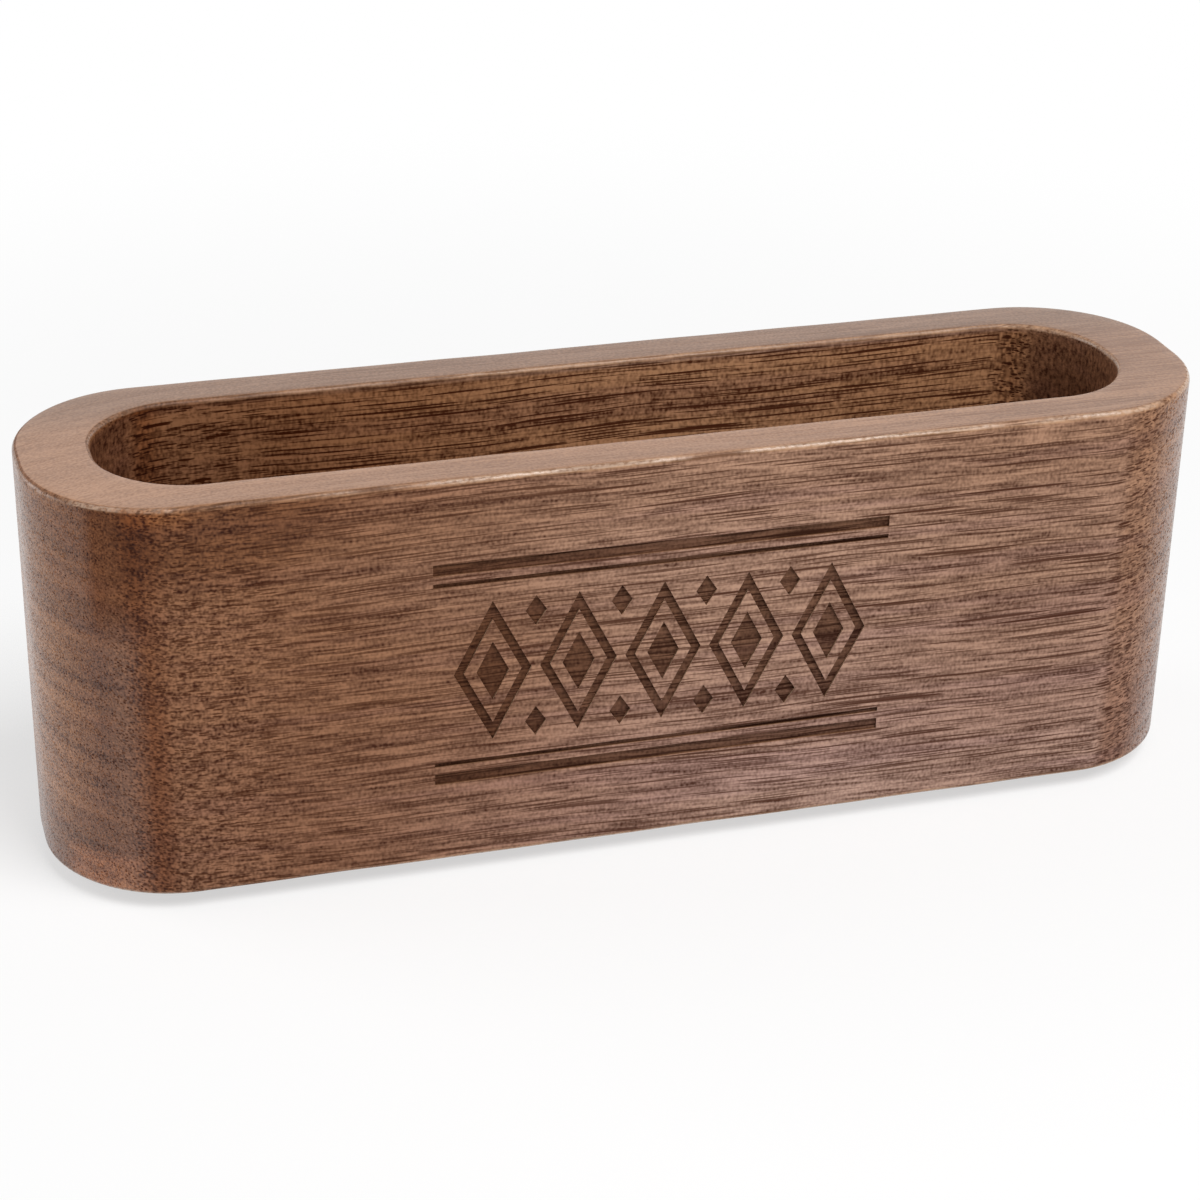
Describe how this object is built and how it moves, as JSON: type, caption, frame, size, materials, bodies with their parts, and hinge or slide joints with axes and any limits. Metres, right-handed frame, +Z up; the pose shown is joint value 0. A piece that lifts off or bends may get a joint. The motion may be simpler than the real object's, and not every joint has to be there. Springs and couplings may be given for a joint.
{
  "type": "business card holder stand",
  "caption": "Free-standing desk holder for business cards: a solid walnut block with rounded ends and a deep round-ended card slot in its top, on low rubber feet.",
  "frame": {"origin": "on the desk, under the middle of the block", "axes": "+X along the long side, +Y from the face towards the user to the back, +Z up out of the card slot"},
  "size_m": [0.111, 0.0284, 0.0396],
  "materials": {
    "walnut": "satin lacquer",
    "foot_rubber": "matte"
  },
  "bodies": {
    "root": {"body": "walnut", "foot_front_left": "foot_rubber", "foot_front_right": "foot_rubber", "foot_rear_left": "foot_rubber", "foot_rear_right": "foot_rubber"}
  },
  "joints": []
}
